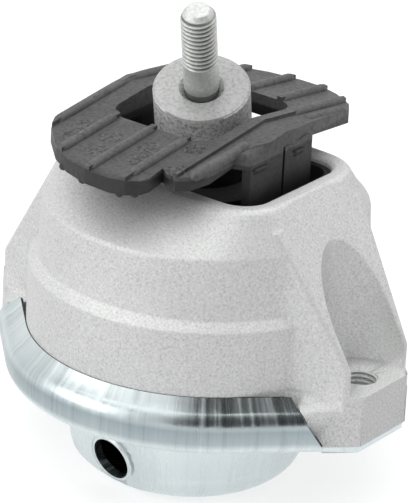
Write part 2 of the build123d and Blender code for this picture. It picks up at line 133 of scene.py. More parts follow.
# buffer's arched top, in millimetres: crown height, fall per millimetre and crown radius
BUFFER_Z = 82.0
BUFFER_DROP = 0.12
CROWN_R = 70.0

# ribs: x, and the y where each starts and ends; a rib stops at the opening
RIB_RUNS = (
    (-29.4, -32.0, 30.0), (-17.7, -44.0, -20.6), (-17.7, 23.2, 41.0), (-4.6, -48.0, -20.4),
    (-4.6, 23.2, 44.6), (7.2, -45.0, -20.4), (7.2, 23.0, 44.4), (17.6, 14.0, 39.2),
)
RIB_HALF_WIDTH = 1.5
RIB_SINK = 0.1

# curled edge and fold of the buffer, in millimetres
CURL_LOW = -36.5
CURL_HIGH = -12.5
CURL_X = 21.2
CURL_DRIFT = 1.0
CURL_SINK = 0.2
CURL_BEAD = (1.4, 1.5)
FOLD_LOW = 14.5
FOLD_HIGH = 33.0
FOLD_X = 22.0
FOLD_SINK = 0.3
FOLD_BEAD = (1.7, 1.0)

# skirt between the plate's slanted edge and the front right leg, in millimetres
SKIRT_LOW = -18.6
SKIRT_BEND = -13.0
SKIRT_HIGH = -7.6
SKIRT_EDGE = (22.2, 24.4, 26.4)
SKIRT_OUT_X = 26.75
SKIRT_FALL_Z = 76.0
SKIRT_FOOT_Z = 74.9
SKIRT_WALL = 2.0
SKIRT_GROWTH = 2.0
SKIRT_SINK = 0.15
SKIRT_EDGE_DEPTH = 1.0

# opening in the plate, in millimetres: its sides, corner radius, and the section of its hanging wall
OPENING_RIGHT = 13.5
OPENING_LEFT = -22.0
OPENING_BACK = 22.4
OPENING_FRONT = -19.6
OPENING_CORNER = 7.0
WALL_OUT = (0.0, 1.3, 1.3, 0.0)
WALL_DOWN = (2.0, 2.0, 6.3, 6.3)

# slots in the right legs, in millimetres: the y where each starts and ends, then x and z of lip and slot;
# each slot's inside is a near-black bead of painted shade
LEG_SLOTS = ((-15.6, -9.0), (3.0, 8.1))
LIP_X, LIP_Z = 26.75, 74.6
SLOT_X, SLOT_Z = 26.45, 73.5
LIP_BEAD = (0.7, 0.5, 0.0, 1.0)
SLOT_BEAD = (0.32, 0.55, 0.0, 1.0)

# nubs left under the lobe by the moulding gates, in millimetres
NUBS = ((-16.2, -44.6), (-7.0, -47.6), (6.0, -47.8), (9.5, -45.8))
NUB_RADII = (1.3, 0.9, 1.0)
NUB_BELOW_TOP = 4.4


def linear(hex_colour):
    """sRGB hex text to linear red, green, blue."""
    parts = [int(hex_colour[i:i + 2], 16) / 255 for i in (1, 3, 5)]
    return tuple(c / 12.92 if c <= 0.04045 else ((c + 0.055) / 1.055) ** 2.4 for c in parts)


class MountSizes(bpy.types.PropertyGroup):
    """Sizes of the pieces that the solids leave out."""

    thread_pitch: FloatProperty(
        name="Thread pitch", description="Distance between thread crests",
        default=0.0015, unit="LENGTH")
    thread_depth: FloatProperty(
        name="Thread depth", description="Depth of the threads",
        default=0.00062, unit="LENGTH")
    rib_height: FloatProperty(
        name="Rib height", description="Height of the buffer's rounded ribs",
        default=0.0017, unit="LENGTH")
    buffer_edge: FloatProperty(
        name="Buffer edge", description="Rounding of the buffer's moulded edges",
        default=0.0006, unit="LENGTH")
    cast_grain: FloatProperty(
        name="Cast grain", description="Width of one grain on the cast housing",
        default=0.00032, unit="LENGTH")


class MountColours(bpy.types.PropertyGroup):
    """Base colours of the materials."""

    cast: FloatVectorProperty(
        name="Cast aluminium", description="Blasted die-cast housing",
        default=linear("#DADBDA"), size=3, subtype="COLOR")
    zinc: FloatVectorProperty(
        name="Zinc plate", description="Bright zinc on the pressed pan",
        default=linear("#D6DEDF"), size=3, subtype="COLOR")
    core: FloatVectorProperty(
        name="Cast core", description="Coarse cast core",
        default=linear("#CFD0CF"), size=3, subtype="COLOR")
    stud: FloatVectorProperty(
        name="Stud", description="Zinc-plated steel stud",
        default=linear("#D2D4D1"), size=3, subtype="COLOR")
    buffer: FloatVectorProperty(
        name="Stop buffer", description="Moulded dark grey stop buffer",
        default=linear("#4F4F4F"), size=3, subtype="COLOR")
    rubber: FloatVectorProperty(
        name="Rubber", description="Black natural rubber of the spring and the diaphragm",
        default=linear("#1C1C1C"), size=3, subtype="COLOR")


# mesh helpers

def new_object(name, mesh):
    """An object for the mesh, linked into the scene."""
    thing = bpy.data.objects.new(name, mesh)
    bpy.context.scene.collection.objects.link(thing)
    return thing


def surface(name, points, close_around=True, cap_ends=True):
    """Mesh of a grid of points: rows run along the piece, columns run around it.

    Each grid cell becomes one face, and a capped end is closed by a fan to the mean of its row.
    """
    rows, columns = points.shape[:2]
    index = np.arange(rows * columns).reshape(rows, columns)
    after = np.roll(index, -1, axis=1)
    last = columns if close_around else columns - 1
    cells = (index[:-1, :last], after[:-1, :last], after[1:, :last], index[1:, :last])
    faces = np.stack(cells, axis=-1).reshape(-1, 4).tolist()
    coords = points.reshape(-1, 3)
    if cap_ends:
        ends = np.stack((points[0].mean(axis=0), points[-1].mean(axis=0)))
        low, high = rows * columns, rows * columns + 1
        coords = np.concatenate((coords, ends))
        faces += np.stack((after[0], index[0], np.full(columns, low)), axis=-1).tolist()
        faces += np.stack((index[-1], after[-1], np.full(columns, high)), axis=-1).tolist()
    mesh = bpy.data.meshes.new(name)
    mesh.from_pydata(coords.tolist(), [], faces)
    work = bmesh.new()
    work.from_mesh(mesh)
    bmesh.ops.remove_doubles(work, verts=work.verts, dist=1e-7)
    bmesh.ops.recalc_face_normals(work, faces=work.faces)
    work.to_mesh(mesh)
    work.free()
    return new_object(name, mesh)


def smooth(thing, degrees):
    """Smooth shading, with edges sharper than the angle kept crisp."""
    mesh = thing.data
    mesh.shade_smooth()
    mesh.set_sharp_from_angle(angle=math.radians(degrees))


def merged_copy(name, node_name, flat_degrees=0):
    """A node's mesh with its loose triangles joined.

    Where an angle is given, areas flatter than that become single faces.
    """
    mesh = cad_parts[node_name].data.copy()
    mesh.name = name
    work = bmesh.new()
    work.from_mesh(mesh)
    bmesh.ops.remove_doubles(work, verts=work.verts, dist=2e-6)
    if flat_degrees:
        bmesh.ops.dissolve_limit(
            work, angle_limit=math.radians(flat_degrees), verts=work.verts, edges=work.edges)
    work.to_mesh(mesh)
    work.free()
    mesh.materials.clear()
    return new_object(name, mesh)


def around_axis(middle, axis, angle, radius, along):
    """Points at an angle and radius round an axis: middle + along * axis + radius * (cos, sin)."""
    axis = axis / np.linalg.norm(axis)
    side = np.cross(axis, (0.0, 1.0, 0.0))
    side = side / np.linalg.norm(side)
    up = np.cross(axis, side)
    return (
        middle + along[..., None] * axis
        + radius[..., None] * (np.cos(angle)[..., None] * side + np.sin(angle)[..., None] * up))


def thread_tooth(along, angle, pitch):
    """Thread form from 0 to 1: a rounded saw of the distance along the helix, once per pitch."""
    phase = (along / pitch - angle / FULL_TURN) % 1.0
    return np.clip(np.abs(phase - 0.5) * 2.6 - 0.25, 0.0, 1.0)


# material helpers

def new_material(name):
    """An empty node material with its Principled shader and output joined."""
    made = bpy.data.materials.new(name)
    made.use_nodes = True
    made.node_tree.nodes.clear()
    out = made.node_tree.nodes.new("ShaderNodeOutputMaterial")
    shader = made.node_tree.nodes.new("ShaderNodeBsdfPrincipled")
    made.node_tree.links.new(shader.outputs[0], out.inputs[0])
    return made, made.node_tree, shader


def node(tree, kind, inputs=None, **settings):
    """Adds a node; inputs maps a socket to a value or to another node's socket."""
    made = tree.nodes.new(kind)
    for key, value in settings.items():
        setattr(made, key, value)
    for key, value in (inputs or {}).items():
        if isinstance(value, bpy.types.NodeSocket):
            tree.links.new(value, made.inputs[key])
        else:
            made.inputs[key].default_value = value
    return made


def object_point(tree, stretch=(1.0, 1.0, 1.0)):
    """Object coordinates in metres, stretched along each axis."""
    place = node(tree, "ShaderNodeTexCoord")
    return node(
        tree, "ShaderNodeMapping", {"Vector": place.outputs["Object"], "Scale": stretch}).outputs[0]


def height_of(tree, point):
    """Height of a point."""
    return node(tree, "ShaderNodeSeparateXYZ", {0: point}).outputs["Z"]


def noise(tree, point, width, detail, roughness=0.5):
    """Noise whose grains are about as wide as the given length in metres."""
    return node(
        tree, "ShaderNodeTexNoise",
        {"Vector": point, "Scale": 1.0 / (2.0 * width), "Detail": detail, "Roughness": roughness}).outputs[0]


def ramp(tree, factor, stops):
    """Colour ramp through (position, rgb) stops."""
    made = node(tree, "ShaderNodeValToRGB", {"Fac": factor})
    elements = made.color_ramp.elements
    while len(elements) > 1:
        elements.remove(elements[-1])
    for i, (position, rgb) in enumerate(stops):
        element = elements[0] if i == 0 else elements.new(position)
        element.position = position
        element.color = (*rgb, 1.0)
    return made.outputs[0]


def scaled(rgb, amount):
    """A colour made lighter or darker."""
    return tuple(min(1.0, c * amount) for c in rgb)


def shades(tree, factor, colour, stops):
    """Ramp through (position, amount) stops, each the colour made lighter or darker."""
    return ramp(tree, factor, [(position, scaled(colour, amount)) for position, amount in stops])


def greys(tree, factor, stops):
    """Ramp through (position, level) stops of plain grey."""
    return ramp(tree, factor, [(position, (level, level, level)) for position, level in stops])


def map_range(tree, value, low, high, at_low=0.0, at_high=1.0):
    """A value carried from one span to another and held at its ends."""
    return node(
        tree, "ShaderNodeMapRange",
        {"Value": value, "From Min": low, "From Max": high, "To Min": at_low, "To Max": at_high}).outputs[0]


def mix(tree, factor, first, second, blend="MIX"):
    """Two colours mixed by a factor."""
    return node(
        tree, "ShaderNodeMix", {0: factor, 6: first, 7: second}, data_type="RGBA",
        blend_type=blend).outputs[2]


def multiplied(tree, first, second):
    """The product of two colours."""
    return mix(tree, 1.0, first, second, "MULTIPLY")


def math_node(tree, operation, first, second):
    """One arithmetic step between two values."""
    return node(tree, "ShaderNodeMath", {0: first, 1: second}, operation=operation).outputs[0]


def vector_node(tree, operation, inputs, output="Vector"):
    """One step of vector arithmetic."""
    return node(tree, "ShaderNodeVectorMath", inputs, operation=operation).outputs[output]


def bump(tree, height, depth, strength=1.0):
    """Bump of a height field that spans the given depth in metres."""
    return node(
        tree, "ShaderNodeBump", {"Height": height, "Distance": depth, "Strength": strength}).outputs[0]


def join(tree, shader, colour, rough, normal):
    """Links a shader's colour, roughness and normal."""
    for name, source in (("Base Color", colour), ("Roughness", rough), ("Normal", normal)):
        tree.links.new(source, shader.inputs[name])


def from_core_top(tree, point):
    """The way from the middle of the core's top to a point, and its length along the core's axis."""
    shifted = vector_node(tree, "SUBTRACT", {0: point, 1: tuple(CORE_TOP)})
    height = vector_node(tree, "DOT_PRODUCT", {0: shifted, 1: tuple(CORE_AXIS)}, "Value")
    return shifted, height


def seen_rays(tree):
    """1 for camera, glossy and transmission rays, and 0 for all others."""
    rays = node(tree, "ShaderNodeLightPath")
    indirect = math_node(
        tree, "MAXIMUM", rays.outputs["Is Glossy Ray"], rays.outputs["Is Transmission Ray"])
    return math_node(tree, "MAXIMUM", rays.outputs["Is Camera Ray"], indirect)


# materials

def cast_aluminium(colour, grain):
    """Die-cast aluminium, shot-blasted: pale, matt, with fine pits and faint cloudy tone."""
    made, tree, shader = new_material("cast_aluminium")
    point = object_point(tree)
    grains = noise(tree, point, grain, 1.0, 0.6)
    clouds = noise(tree, point, 0.012, 2.0)
    specks = shades(tree, grains, colour, ((0.28, 0.80), (0.42, 0.95), (0.54, 1.0), (0.72, 1.12)))
    tone = greys(tree, clouds, ((0.30, 0.95), (0.70, 1.0)))
    rough = greys(tree, grains, ((0.3, 0.62), (0.7, 0.46)))
    join(tree, shader, multiplied(tree, specks, tone), rough, bump(tree, grains, 0.00005))
    shader.inputs["Metallic"].default_value = 0.25
    return made


def zinc_plate(colour):
    """Bright zinc on deep-drawn steel: bluish white, with fine upright drawing streaks."""
    made, tree, shader = new_material("zinc_plate")
    # the streaks run up the wall: the pattern is laid along the angle and hardly changes with height
    parts = node(tree, "ShaderNodeSeparateXYZ", {0: object_point(tree)})
    turn = math_node(tree, "ARCTAN2", parts.outputs["Y"], parts.outputs["X"])
    around = math_node(tree, "MULTIPLY", turn, STREAK_R)
    upright = math_node(tree, "MULTIPLY", parts.outputs["Z"], 0.035)
    unrolled = node(tree, "ShaderNodeCombineXYZ", {"X": around, "Y": upright}).outputs[0]
    drawn = noise(tree, unrolled, 0.0011, 4.0, 0.6)
    wide = noise(tree, object_point(tree, (1.0, 1.0, 0.25)), 0.007, 2.0)
    streaks = shades(tree, drawn, colour, ((0.34, 0.80), (0.46, 0.94), (0.58, 1.0), (0.68, 1.15)))
    # on the cup below the rim they are a quarter as strong
    on_rim = map_range(tree, parts.outputs["Z"], -0.002, 0.003, 0.25)
    streaked = mix(tree, on_rim, (*colour, 1.0), streaks)
    clouds = ramp(tree, wide, ((0.30, (0.90, 0.91, 0.92)), (0.65, (1.0, 1.0, 1.0))))
    cloudy = multiplied(tree, streaked, clouds)
    # a duller, greyer band painted on the crimp's wall, between the bends above and below it, is a painted
    # reflection
    painted_reflection_height = map_range(tree, parts.outputs["Z"], 0.0, 0.020)
    painted_reflection = ramp(tree, painted_reflection_height, (
        (0.12, (1.0, 1.0, 1.0)), (0.22, (0.60, 0.63, 0.65)), (0.40, (0.48, 0.52, 0.54)),
        (0.50, (0.80, 0.82, 0.83)), (0.66, (0.95, 0.96, 0.96)), (0.78, (1.0, 1.0, 1.0))))
    rough = greys(tree, drawn, ((0.36, 0.24), (0.52, 0.30), (0.66, 0.48)))
    grooves = math_node(tree, "MULTIPLY", drawn, on_rim)
    join(tree, shader, multiplied(tree, cloudy, painted_reflection), rough, bump(tree, grooves, 0.00005, 0.8))
    shader.inputs["Metallic"].default_value = 1.0
    return made


def coarse_core(colour):
    """Cast core: coarse dark pits on its side, and a smoother turned top."""
    made, tree, shader = new_material("cast_core")
    point = object_point(tree)
    pits = noise(tree, point, 0.0005, 2.0, 0.7)
    clouds = noise(tree, point, 0.009, 1.0)
    # the side's tone is lifted up to one and a half times the colour as painted light, and the top's is held
    # below it as painted shade; the pits on both are the casting's own
    lit_side_tone = shades(tree, pits, colour, ((0.34, 0.60), (0.44, 1.0), (0.54, 1.30), (0.68, 1.5)))
    shaded_top_tone = shades(tree, pits, colour, ((0.34, 0.54), (0.5, 0.70), (0.7, 0.80)))
    _, height = from_core_top(tree, point)
    on_top = map_range(tree, height, -0.0006, -0.0003)
    cloudy = greys(tree, clouds, ((0.35, 0.88), (0.65, 1.0)))
    toned = multiplied(tree, mix(tree, on_top, lit_side_tone, shaded_top_tone), cloudy)
    # below the plate the core wears the spring's black rubber
    coated = map_range(tree, height_of(tree, point), RUBBER_TOP - 0.0005, RUBBER_TOP, 1.0, 0.0)
    dressed = mix(tree, coated, toned, (*COAT_AND_SHADE_BLACK, 1.0))
    tree.links.new(map_range(tree, coated, 0.0, 1.0, 0.25, 0.0), shader.inputs["Metallic"])
    rough = map_range(tree, on_top, 0.0, 1.0, 0.62, 0.38)
    depth = map_range(tree, on_top, 0.0, 1.0, 1.0, 0.12)
    pitted = math_node(tree, "MULTIPLY", pits, depth)
    join(tree, shader, dressed, rough, bump(tree, pitted, 0.00012))
    return made


def plated_stud(colour):
    """Rolled and zinc-plated steel: silvery, slightly uneven gloss."""
    made, tree, shader = new_material("plated_stud")
    point = object_point(tree)
    fine = noise(tree, point, 0.0005, 3.0)
    tone = shades(tree, fine, colour, ((0.32, 0.90), (0.5, 1.0), (0.7, 1.12)))
    # the thread's roots are painted darker than the crests: painted shade in the grooves
    shifted, height = from_core_top(tree, point)
    lengthwise = vector_node(tree, "SCALE", {0: tuple(CORE_AXIS), "Scale": height})
    outward = vector_node(tree, "SUBTRACT", {0: shifted, 1: lengthwise})
    radius = vector_node(tree, "LENGTH", {0: outward}, "Value")
    root_shade_factor = map_range(tree, radius, 4.40 * MM, 4.90 * MM, 0.22)
    tip = map_range(tree, height, 27.3 * MM, 27.7 * MM)
    shade = greys(tree, math_node(tree, "MAXIMUM", root_shade_factor, tip), ((0.0, 0.0), (1.0, 1.0)))
    rough = greys(tree, fine, ((0.3, 0.55), (0.7, 0.42)))
    join(tree, shader, multiplied(tree, tone, shade), rough, bump(tree, fine, 0.00003))
    shader.inputs["Metallic"].default_value = 0.6
    return made


def moulded_plastic(colour):
    """Glass-filled polyamide, injection moulded: dark grey, satin, with patches of coarse grain."""
    made, tree, shader = new_material("moulded_plastic")
    point = object_point(tree)
    skin = noise(tree, point, 0.0006, 3.0, 0.6)
    clouds = noise(tree, point, 0.008, 2.0)
    flat = vector_node(tree, "MULTIPLY", {0: point, 1: (1.0, 1.0, 0.0)})
    nearest = None
    for x, y in MARKS:
        away = vector_node(tree, "DISTANCE", {0: flat, 1: (x * MM, y * MM, 0.0)}, "Value")
        nearest = away if nearest is None else math_node(tree, "MINIMUM", nearest, away)
    patch = map_range(tree, nearest, MARK_R * 0.75, MARK_R, 1.0, 0.0)
    pits = noise(tree, point, 0.00055, 1.0, 0.8)
    speckle = shades(tree, pits, colour, ((0.40, 0.22), (0.48, 0.65), (0.60, 1.0), (0.68, 1.45)))
    soft = shades(tree, clouds, colour, ((0.30, 0.80), (0.70, 1.16)))
    sandy = greys(tree, skin, ((0.32, 0.62), (0.50, 0.90), (0.66, 1.0)))
    mixed = mix(tree, patch, multiplied(tree, soft, sandy), speckle)
    # the legs under the plate are painted near black: painted shade
    leg_shade = map_range(tree, height_of(tree, point), LEG_SHADE_TOP - 0.0006, LEG_SHADE_TOP, 1.0, 0.0)
    toned = mix(tree, leg_shade, mixed, (*scaled(colour, 0.13), 1.0))
    rough = greys(tree, skin, ((0.3, 0.64), (0.7, 0.46)))
    rise = math_node(tree, "MULTIPLY", patch, pits)
    both = math_node(tree, "ADD", math_node(tree, "MULTIPLY", skin, 0.25), rise)
    join(tree, shader, toned, rough, bump(tree, both, 0.00022))
    shader.inputs["IOR"].default_value = 1.5
    return made


def black_rubber(colour, name="black_rubber"):
    """Natural rubber, moulded against metal: black and matt, with a faint bloom; the painted shade in the
    crimp's gap and in the leg slots is made of it too.
    """
    made, tree, shader = new_material(name)
    point = object_point(tree)
    bloom = noise(tree, point, 0.006, 3.0)
    skin = noise(tree, point, 0.0007, 2.0)
    tone = shades(tree, bloom, colour, ((0.35, 0.8), (0.68, 1.5)))
    rough = greys(tree, skin, ((0.3, 0.75), (0.7, 0.60)))
    join(tree, shader, tone, rough, bump(tree, skin, 0.00008))
    return made


def plain_matt(name, colour):
    """A plain matt material of the studio."""
    made, tree, shader = new_material(name)
    shader.inputs["Base Color"].default_value = (*colour, 1.0)
    shader.inputs["Roughness"].default_value = 0.9
    return made, tree, shader


# finishing

def dress(thing, material):
    """Puts one material in all of a thing's slots."""
    if not thing.data.materials:
        thing.data.materials.append(material)
    for place in thing.material_slots:
        place.material = material


def piece(thing, material, degrees, replaced=()):
    """Finishes a piece: smooth shading, material, body and the nodes it stands for."""
    smooth(thing, degrees)
    dress(thing, material)
    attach(thing, "root")
    if replaced:
        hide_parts(*replaced)


def even_piece(name, node_name, material):
    """A dressed copy of a node, each corner shaded by its faces' areas so that flat faces look flat."""
    body = merged_copy(name, node_name)
    piece(body, material, 32, (node_name,))
    even = body.modifiers.new("even_shading", "WEIGHTED_NORMAL")
    even.keep_sharp = True


# studio

def view_axes():
    """Right, up and forward directions of the view before its roll."""
    back = Matrix.Rotation(-VIEW_TURN, 3, "Z")
    right = back @ Vector((1.0, 0.0, 0.0))
    up = back @ Vector((0.0, math.sin(VIEW_TILT), math.cos(VIEW_TILT)))
    forward = back @ Vector((0.0, math.cos(VIEW_TILT), -math.sin(VIEW_TILT)))
    return right, up, forward


def camera_matrix():
    """Camera place and turn from the fitted view."""
    right, up, forward = view_axes()
    place = (right * AIM_RIGHT + up * AIM_UP - forward * VIEW_DISTANCE + Vector((0, 0, AIM_Z))) * MM
    c, s = math.cos(VIEW_ROLL), math.sin(VIEW_ROLL)
    across = right * c - up * s
    upward = right * s + up * c
    turn = Matrix((across, upward, -forward)).transposed()
    return Matrix.Translation(place) @ turn.to_4x4()


def white_world(scene):
    """World that is white where it is seen and dimmer as a light."""
    world = bpy.data.worlds.new("white_room")
    scene.world = world
    world.use_nodes = True
    tree = world.node_tree
    tree.nodes.clear()
    level = map_range(tree, seen_rays(tree), 0.0, 1.0, WORLD_LIGHT)
    sky = node(tree, "ShaderNodeBackground", {"Color": (1.0, 1.0, 1.0, 1.0), "Strength": level})
    out = node(tree, "ShaderNodeOutputWorld", {"Surface": sky.outputs[0]})
    out.is_active_output = True


def white_floor():
    """Wide level sheet under the part, a little self-lit where it is seen so that it reads white."""
    steps = np.linspace(-FLOOR_HALF, FLOOR_HALF, 13)
    u, v = np.meshgrid(steps, steps, indexing="ij")
    grid = np.stack((u, v, np.full_like(u, FLOOR_Z - 0.00005)), axis=-1)
    sheet = surface("floor", grid, False, False)
    made, tree, shader = plain_matt("white_floor", (FLOOR_GREY, FLOOR_GREY, FLOOR_GREY))
    shader.inputs["Emission Color"].default_value = (1.0, 1.0, 1.0, 1.0)
    lift = map_range(tree, seen_rays(tree), 0.0, 1.0, 0.0, FLOOR_LIFT)
    tree.links.new(lift, shader.inputs["Emission Strength"])
    dress(sheet, made)


def lamp(name, place, size, watts, glossy):
    """Square area lamp aimed at the part; one that isn't glossy stays out of reflections."""
    light = bpy.data.lights.new(name, "AREA")
    light.shape = "SQUARE"
    light.size = size
    light.energy = watts
    holder = new_object(name, light)
    aim = Vector((0.0, 0.0, LAMP_AIM_Z)) - Vector(place)
    turn = aim.to_track_quat("-Z", "Y")
    holder.matrix_world = Matrix.Translation(place) @ turn.to_matrix().to_4x4()
    holder.visible_glossy = glossy


def dark_card(ahead):
    """Part of a sphere over the camera's side, which only reflections see.

    The point is radius * (cos rise * cos turn, cos rise * sin turn, sin rise).
    """
    turn = np.linspace(math.radians(CARD_TURN[0]), math.radians(CARD_TURN[1]), 33)
    rise = np.linspace(math.radians(CARD_RISE[0]), math.radians(CARD_RISE[1]), 31)
    e, t = np.meshgrid(rise, turn, indexing="ij")
    t = math.atan2(-ahead.y, -ahead.x) + t
    ball = np.stack((np.cos(e) * np.cos(t), np.cos(e) * np.sin(t), np.sin(e)), axis=-1)
    card = surface("dark_card", CARD_RADIUS * ball, False, False)
    made, _, _ = plain_matt("dark_card", CARD_COLOUR)
    dress(card, made)
    card.visible_camera = False
    card.visible_diffuse = False
    card.visible_shadow = False
    card.visible_transmission = False


def photo_camera(scene):
    """Camera at the photograph's view; the sensor's width spans the picture's height."""
    lens = bpy.data.cameras.new("camera")
    lens.sensor_width = SENSOR_WIDTH
    lens.lens = SENSOR_WIDTH * PHOTO_FOCAL / PHOTO_HEIGHT
    lens.clip_start = 0.01
    camera = new_object("camera", lens)
    camera.matrix_world = camera_matrix()
    scene.camera = camera


# shapes that the solids leave out

def buffer_top(y):
    """Height in mm of the buffer's arched top at y: two slopes joined by a round crown."""
    slope = math.atan(BUFFER_DROP)
    reach = CROWN_R * math.sin(slope)
    crown_middle = BUFFER_Z - CROWN_R / math.cos(slope)
    y = np.abs(np.asarray(y, float))
    round_part = crown_middle + np.sqrt(np.maximum(CROWN_R ** 2 - y ** 2, 0.0))
    return np.where(y < reach, round_part, BUFFER_Z - BUFFER_DROP * y)


def bead(name, path, half_width, height, sink=0.4, end_taper=2.0):
    """Rounded rib along a path: a half ellipse across, lowered to nothing over its two ends.

    Across the path the point is (half width * cos t, height * sin t), with t from -35 to 215 degrees.
    """
    step = np.diff(path, axis=0)
    run = np.concatenate(([0.0], np.cumsum(np.linalg.norm(step, axis=1))))
    tangent = np.gradient(path, run, axis=0)
    tangent /= np.linalg.norm(tangent, axis=1)[:, None]
    side = np.cross(tangent, (0.0, 0.0, 1.0))
    side /= np.linalg.norm(side, axis=1)[:, None]
    up = np.cross(side, tangent)
    ends = np.clip(np.minimum(run, run[-1] - run) / end_taper, 0.0, 1.0)
    shape = (np.sqrt(1.0 - (1.0 - ends) ** 2) * 0.97 + 0.03)[:, None, None]
    t = np.linspace(math.radians(-35), math.radians(215), 15)
    across = half_width * np.cos(t)[None, :, None] * (0.55 + 0.45 * shape)
    rise = height * np.sin(t)[None, :, None] * shape
    points = path[:, None, :] + side[:, None, :] * across + up[:, None, :] * rise
    points[:, :, 2] -= np.where(np.sin(t)[None, :] < 0, sink, 0.0)
    return surface(name, points * MM)


def line_along_y(x, y, z):
    """Path along y with x and z given once or for each point, in millimetres."""
    return np.stack((np.broadcast_to(x, y.shape), y, np.broadcast_to(z, y.shape)), axis=-1)


def shade_bead_path(side):
    """Path of the bead of painted shade: a round stretch from 45 to 135 degrees with a straight one at each
    end.
    """
    turn = np.radians(np.linspace(45.0, 135.0, 61))
    arc = np.stack((SHADE_BEAD_R * np.cos(turn), SHADE_BEAD_R * np.sin(turn)), axis=-1)
    run = np.linspace(SHADE_BEAD_RUN, SHADE_BEAD_FIRST_STEP, 12)[:, None]
    first = arc[0] + run * np.array((1.0, -1.0)) / math.sqrt(2)
    last = arc[-1] + run[::-1] * np.array((-1.0, -1.0)) / math.sqrt(2)
    line = np.concatenate((first, arc, last))
    return np.stack((line[:, 0], side * line[:, 1], np.full(len(line), SHADE_BEAD_Z)), axis=-1)


def stud_points(pitch, depth):
    """The stud: its profile turned round the core's axis, less the thread.

    The radius is profile - depth * tooth * fade; fade starts at the shank and ends at the tip.
    """
    # rows stand at each bend of the profile, and close together on the thread
    along = np.concatenate((
        np.array((-15.0, -14.9, 0.5, 0.6, 0.9, 5.0, 9.4)), np.linspace(9.8, 27.6, 213),
        np.linspace(27.7, 29.2, 6), np.array((29.36, 29.4)))) * MM
    angle = np.linspace(0.0, FULL_TURN, 72, endpoint=False)
    s, a = np.meshgrid(along, angle, indexing="ij")
    profile = np.array(STUD_PROFILE) * MM
    shank = np.interp(s, profile[:, 0], profile[:, 1])
    fade_in = np.clip((s - THREAD_START * MM) / (THREAD_FADE_IN * MM), 0.0, 1.0)
    fade_out = np.clip((THREAD_END * MM - s) / (THREAD_FADE_OUT * MM), 0.0, 1.0)
    radius = shank - depth * thread_tooth(s, a, pitch) * fade_in * fade_out
    return around_axis(CORE_TOP, CORE_AXIS, a, radius, s)


def ear_thread_points(x, pitch, depth):
    """Thread turns in an ear's hole: a ring, up the inside with the turns and down in the wall."""
    inside = np.linspace(EAR_THREAD_LOW, EAR_THREAD_HIGH, 150) * MM
    z = np.concatenate((inside, inside[::-1][::10]))
    angle = np.linspace(0.0, FULL_TURN, 64, endpoint=False)
    h, a = np.meshgrid(z, angle, indexing="ij")
    in_wall = np.arange(len(z))[:, None] >= len(inside)
    turns = EAR_THREAD_R * MM + depth * thread_tooth(h, a, pitch)
    radius = np.where(in_wall, EAR_THREAD_BACK_R * MM, turns)
    ring = np.stack((x + radius * np.cos(a), radius * np.sin(a), h), axis=-1)
    return np.concatenate((ring, ring[:1]))


def skirt_points():
    """The skirt: from the plate's edge it falls outwards along a quarter ellipse to the leg's face.

    Over its first millimetres it grows out of the edge by 3 g^2 - 2 g^3.
    """
    y = np.linspace(SKIRT_LOW, SKIRT_HIGH, 24)[:, None]
    edge = np.interp(y, (SKIRT_LOW, SKIRT_BEND, SKIRT_HIGH), SKIRT_EDGE)
    top = buffer_top(y) - SKIRT_SINK
    turn = np.array((0.0, 0.35, 0.7, 1.0))[None, :] * QUARTER_TURN
    grown = np.clip((y - SKIRT_LOW) / SKIRT_GROWTH, 0.0, 1.0)
    outer = edge + (SKIRT_OUT_X - edge) * grown * grown * (3.0 - 2.0 * grown)
    fall_x = edge + (outer - edge) * np.sin(turn)
    fall_z = top - (top - SKIRT_FALL_Z) * (1.0 - np.cos(turn))
    foot = np.full_like(y, SKIRT_FOOT_Z)
    x = np.concatenate((fall_x, outer, outer - SKIRT_WALL, edge - SKIRT_WALL), axis=1)
    z = np.concatenate((fall_z, foot, foot, top - SKIRT_EDGE_DEPTH), axis=1)
    return np.stack((x, np.broadcast_to(y, x.shape), z), axis=-1)


def opening_wall_points():
    """The wall that hangs from the opening: a rectangle carried round the opening's rounded corners."""
    turn = np.linspace(0.0, FULL_TURN, 97)
    quarter = np.floor(turn / QUARTER_TURN + 1e-9) % 4
    on_right = (quarter == 0) | (quarter == 3)
    corner_x = np.where(on_right, OPENING_RIGHT - OPENING_CORNER, OPENING_LEFT + OPENING_CORNER)
    corner_y = np.where(quarter < 2, OPENING_BACK - OPENING_CORNER, OPENING_FRONT + OPENING_CORNER)
    radius = OPENING_CORNER + np.array(WALL_OUT)[None, :]
    x = corner_x[:, None] + radius * np.cos(turn)[:, None]
    y = corner_y[:, None] + radius * np.sin(turn)[:, None]
    return np.stack((x, y, buffer_top(y) - np.array(WALL_DOWN)[None, :]), axis=-1)


def nub_points(x, y):
    """A nub: an ellipsoid, radii * (sin t * cos a, sin t * sin a, -cos t)."""
    t = np.linspace(0.0, math.pi, 9)[1:-1]
    a = np.linspace(0.0, FULL_TURN, 16, endpoint=False)
    t, a = np.meshgrid(t, a, indexing="ij")
    z = buffer_top(y) - NUB_BELOW_TOP
    wide, deep, high = NUB_RADII
    return np.stack((
        x + wide * np.sin(t) * np.cos(a), y + deep * np.sin(t) * np.sin(a), z - high * np.cos(t)), axis=-1)


# operators

class MOUNT_OT_studio(bpy.types.Operator):
    """Floor, lamps, white surroundings and the camera at the photograph's view"""

    bl_idname = "mount.studio"
    bl_label = "Studio"

    def execute(self, context):
        scene = context.scene
        scene.view_settings.view_transform = "Standard"
        white_world(scene)
        white_floor()
        right, _, forward = view_axes()
        ahead = Vector((forward.x, forward.y, 0.0)).normalized()
        for name, to_right, to_ahead, height, size, watts, glossy in LAMPS:
            place = (to_right * right + to_ahead * ahead)[:2] + (height,)
            lamp(name, place, size, watts, glossy)
        dark_card(ahead)
        photo_camera(scene)
        return {"FINISHED"}


class MOUNT_OT_housing(bpy.types.Operator):
    """The cast housing"""

    bl_idname = "mount.housing"
    bl_label = "Housing"

    def execute(self, context):
        sizes, colours = context.scene.mount_sizes, context.scene.mount_colours
        even_piece("housing_casting", "housing", cast_aluminium(tuple(colours.cast), sizes.cast_grain))
        return {"FINISHED"}


